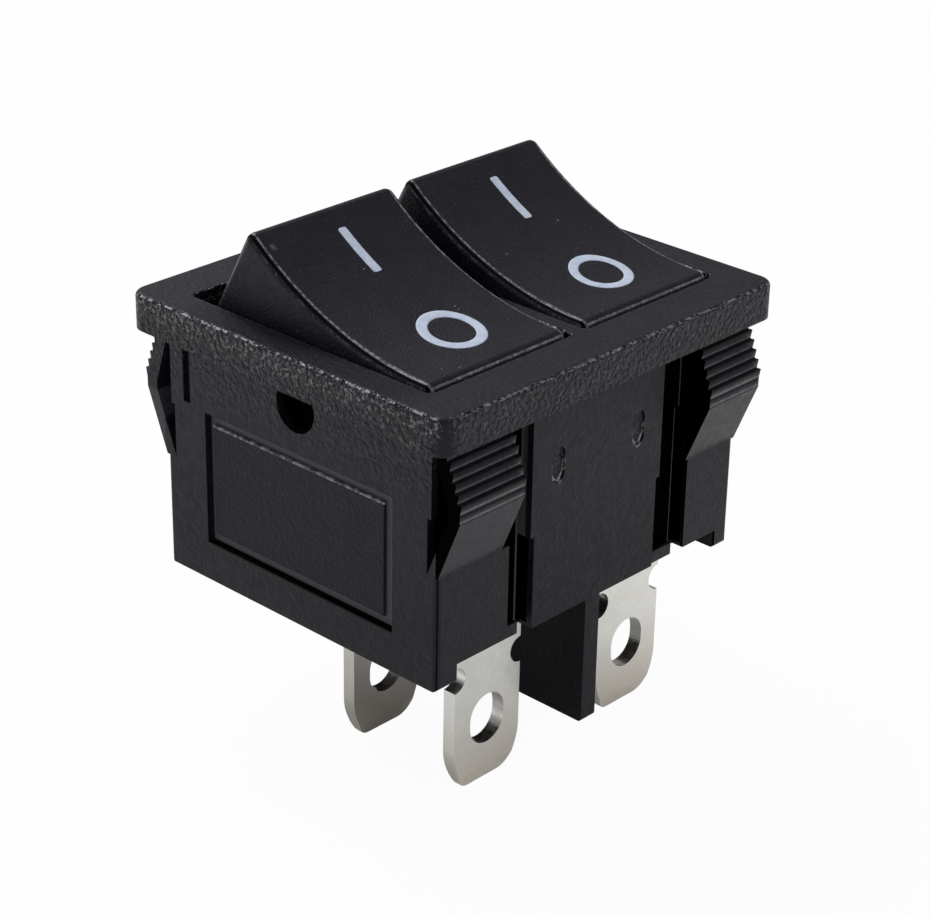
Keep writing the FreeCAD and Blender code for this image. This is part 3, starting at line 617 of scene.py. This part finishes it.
def plated(name, base, warm_and_shaded, rough_low, rough_high):
    """Plated sheet metal: cloudy, with faint rolling streaks, and warmer towards a tab's tip, where painted
    shade also darkens it.
    """
    s = Shader(name)
    s.bsdf.inputs["Metallic"].default_value = 1.0
    # Warmer and, as painted shade, darker towards the tip
    towards_tip = s.remap(s.along("Z"), *WARM_AND_SHADED_Z, 0.0, WARM_AND_SHADED_SHARE)
    cloudy = s.remap(s.noise(0.9, 3.0), 0.3, 0.7, 0.0, CLOUD_SHARE)
    stains = s.all_of(s.specks(*STAINS), STAIN_SHARE)
    tone = s.mix(towards_tip, (*base, 1.0), (*warm_and_shaded, 1.0))
    tone = s.mix(cloudy, tone, (*(CLOUD_SHADE * channel for channel in base), 1.0))
    tone = s.mix(stains, tone, (*(STAIN_SHADE * channel for channel in warm_and_shaded), 1.0))
    s.look(tone, s.remap(s.noise(0.25, 3.0), 0.3, 0.7, rough_low, rough_high))
    s.bump([(s.noise(0.12, 3.0), 0.003), (s.noise(0.08, 2.0, 0.5, (1, 1, 12)), 0.002)])
    return s.material


def plain_nylon():
    """The plungers' undyed nylon."""
    s = Shader("plunger_nylon")
    s.look(s.mix(s.noise(1.2), UNDYED_LOW, UNDYED_HIGH), s.remap(s.noise(0.4), 0.3, 0.7, 0.4, 0.5))
    s.bump([(s.noise(0.1), 0.002)])
    return s.material


def ink():
    """Pad-printed ink, pale and slightly blue."""
    s = Shader("pad_print")
    tone = s.mix(s.remap(s.noise(0.35, 3.0), 0.35, 0.65), INK_LOW, INK_HIGH)
    s.look(tone, s.remap(s.noise(0.3), 0.3, 0.7, 0.5, 0.6))
    s.bump([(s.noise(0.08), 0.003)])
    return s.material


def dress(node, material):
    """Gives every slot of a CAD node one material."""
    node.data.materials.clear()
    node.data.materials.append(material)


def dress_nodes():
    """Gives each CAD node its finish."""
    housing, rocker = housing_nylon(), rocker_nylon()
    metals = {name: plated(name, *look) for name, look in METALS.items()}
    finishes = {
        "rocker": rocker,
        "load_terminal": metals["load_tab_plating"],
        "common_terminal": metals["shaded_common_tab_plating"],
        "moving_contact": metals["strip_metal"],
        "moving_contact_rivet": metals["contact_metal"],
        "fixed_contact_rivet": metals["contact_metal"],
        "spring": metals["spring_wire"],
        "plunger": plain_nylon(),
    }
    nodes = frame["nodes"]
    dress(nodes["housing"], housing)
    for pole in POLES:
        for stem, finish in finishes.items():
            dress(nodes[stem + "_" + pole], finish)


def ink_layer(form, tree, above, rows, offset):
    """The rows' points, set on the surface under them and moved out of it by the offset in millimetres."""
    layer = []
    for row in rows:
        line = []
        for share, (x, y) in row:
            hit, normal, _, _ = tree.ray_cast(Vector((x * MM, y * MM, above)), Vector((0, 0, -1)))
            lift = offset * share if offset > 0 else offset
            line.append(form.verts.new(hit + normal * lift * MM))
        layer.append(line)
    return layer


def close_skin(form, top, foot, closed):
    """The faces over, under and around a mark, from its layers. A closed mark's last row joins its first."""
    count = len(top)
    strips = range(len(top[0]) - 1)
    for i in range(count if closed else count - 1):
        j = (i + 1) % count
        for k in strips:
            form.faces.new((top[i][k], top[j][k], top[j][k + 1], top[i][k + 1]))
            form.faces.new((foot[i][k + 1], foot[j][k + 1], foot[j][k], foot[i][k]))
        form.faces.new((top[j][0], top[i][0], foot[i][0], foot[j][0]))
        form.faces.new((top[i][-1], top[j][-1], foot[j][-1], foot[i][-1]))
    if not closed:
        for i in (0, count - 1):
            for k in strips:
                form.faces.new((top[i][k], top[i][k + 1], foot[i][k + 1], foot[i][k]))
    bmesh.ops.recalc_face_normals(form, faces=form.faces)


def print_on(name, node, rows, closed, material):
    """A thin skin of ink on the node. Each row is a list of (share of the ink's height, (x, y)) points."""
    mesh = node.data
    tree = BVHTree.FromPolygons([v.co for v in mesh.vertices], [tuple(p.vertices) for p in mesh.polygons])
    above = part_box(node.name)[1].z + MM
    form = bmesh.new()
    top = ink_layer(form, tree, above, rows, INK_T)
    foot = ink_layer(form, tree, above, rows, -INK_DEPTH)
    close_skin(form, top, foot, closed)
    piece_mesh = bpy.data.meshes.new(name)
    form.to_mesh(piece_mesh)
    form.free()
    for polygon in piece_mesh.polygons:
        polygon.use_smooth = True
    piece = bpy.data.objects.new(name, piece_mesh)
    bpy.context.scene.collection.objects.link(piece)
    piece_mesh.materials.append(material)
    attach(piece, node["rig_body"])


def edge_share(k):
    """The share of the ink's height at a row's k-th point: the mark's edges are lower."""
    across = 2 * k / INK_STEPS_ACROSS - 1
    return INK_RIM + (1 - INK_RIM) * math.sqrt(max(0.0, 1 - across ** 4))


def ring_rows(centre, outer, inner):
    """A ring's rows, each from its inside outwards."""
    rows = []
    for i in range(INK_STEPS_ALONG):
        angle = 2 * math.pi * i / INK_STEPS_ALONG
        row = []
        for k in range(INK_STEPS_ACROSS + 1):
            radius = inner + (outer - inner) * k / INK_STEPS_ACROSS
            x, y = centre[0] + radius * math.cos(angle), centre[1] + radius * math.sin(angle)
            row.append((edge_share(k), (x, y)))
        rows.append(row)
    return rows


def bar_rows(centre):
    """The rows of a straight bar along Y with rounded corners, each from its left to its right."""
    rows = []
    steps = INK_STEPS_ALONG // 2
    for i in range(steps + 1):
        along = BAR_L * (0.5 - 0.5 * math.cos(math.pi * i / steps))
        from_end = min(along, BAR_L - along)
        lost = BAR_CORNER - math.sqrt(BAR_CORNER ** 2 - max(0.0, BAR_CORNER - from_end) ** 2)
        half = BAR_W / 2 - lost
        row = []
        for k in range(INK_STEPS_ACROSS + 1):
            x = centre[0] - half + 2 * half * k / INK_STEPS_ACROSS
            row.append((edge_share(k), (x, centre[1] - BAR_L / 2 + along)))
        rows.append(row)
    return rows


def print_marks():
    """The I and O marks, printed on each rocker."""
    material = ink()
    for pole in POLES:
        node = frame["nodes"]["rocker_" + pole]
        print_on("mark_on_" + pole, node, bar_rows(BAR_CENTRES[pole]), False, material)
        ring = ring_rows(RING_CENTRES[pole], RING_OUTER[pole], RING_INNER[pole])
        print_on("mark_off_" + pole, node, ring, True, material)


def floor():
    """A pale floor under the tabs' tips, which keeps the shadow and looks near white from the camera."""
    level = cad_box[0].z - FLOOR_DROP * MM
    mesh = bpy.data.meshes.new("floor")
    corners = [(-1, -1), (1, -1), (1, 1), (-1, 1)]
    mesh.from_pydata([(x * FLOOR_HALF, y * FLOOR_HALF, level) for x, y in corners], [], [(0, 1, 2, 3)])
    piece = bpy.data.objects.new("floor", mesh)
    bpy.context.scene.collection.objects.link(piece)
    s = Shader("floor_paper")
    paper = s.add("ShaderNodeBsdfDiffuse", {"Color": grey(FLOOR_ALBEDO)}).outputs[0]
    white = s.add("ShaderNodeEmission").outputs[0]
    path = s.add("ShaderNodeLightPath").outputs
    reach = {"Distance": FLOOR_SHADE_REACH * MM}
    shade = s.add("ShaderNodeAmbientOcclusion", reach, samples=FLOOR_SHADE_SAMPLES)
    in_reflections = s.any_of(path["Is Glossy Ray"], path["Is Transmission Ray"])
    mirrored = s.all_of(in_reflections, shade.outputs["AO"], FLOOR_IN_REFLECTIONS)
    share = s.any_of(s.all_of(path["Is Camera Ray"], FLOOR_WHITE), mirrored)
    surface = s.add("ShaderNodeMixShader", {0: share, 1: paper, 2: white}).outputs[0]
    s.nodes.remove(s.bsdf)
    s.links.new(surface, s.nodes["Material Output"].inputs["Surface"])
    mesh.materials.append(s.material)


def softbox(name, direction, distance, size, power):
    """A square soft lamp that faces the object."""
    lamp = bpy.data.lights.new(name, "AREA")
    lamp.shape = "SQUARE"
    lamp.size = size
    lamp.energy = power
    holder = bpy.data.objects.new(name, lamp)
    bpy.context.scene.collection.objects.link(holder)
    towards = direction.normalized()
    holder.location = towards * distance
    holder.rotation_mode = "QUATERNION"
    holder.rotation_quaternion = towards.to_track_quat("Z", "Y")


def studio():
    """Even grey surroundings, a key softbox above and behind, a small one for the edges and a weak fill."""
    world = bpy.data.worlds.new("studio")
    bpy.context.scene.world = world
    world.use_nodes = True
    world.node_tree.nodes["Background"].inputs["Color"].default_value = (*WORLD_GREY, 1.0)
    softbox("key", KEY_FROM, KEY_DISTANCE, KEY_SIZE, KEY_POWER)
    softbox("edge", EDGE_FROM, EDGE_DISTANCE, EDGE_SIZE, EDGE_POWER)
    softbox("fill", FILL_FROM, FILL_DISTANCE, FILL_SIZE, FILL_POWER)


def camera():
    """The photograph's view."""
    azimuth, elevation = math.radians(CAMERA_AZIMUTH), math.radians(CAMERA_ELEVATION)
    back = Vector((math.sin(azimuth) * math.cos(elevation), -math.cos(azimuth) * math.cos(elevation),
                   math.sin(elevation)))
    lens = bpy.data.cameras.new("camera")
    lens.sensor_width = SENSOR_W
    lens.sensor_fit = "HORIZONTAL"
    lens.lens = FOCAL_PX / IMAGE_W * SENSOR_W
    lens.clip_start = CAMERA_DISTANCE / 100
    holder = bpy.data.objects.new("camera", lens)
    bpy.context.scene.collection.objects.link(holder)
    holder.location = CAMERA_TARGET + back * CAMERA_DISTANCE
    holder.rotation_mode = "QUATERNION"
    turn = (-back).to_track_quat("-Z", "Y")
    turn.rotate(Quaternion(back, math.radians(CAMERA_ROLL)))
    holder.rotation_quaternion = turn
    bpy.context.scene.camera = holder


dress_nodes()
print_marks()
floor()
studio()
camera()
bpy.context.scene.view_settings.view_transform = "Standard"
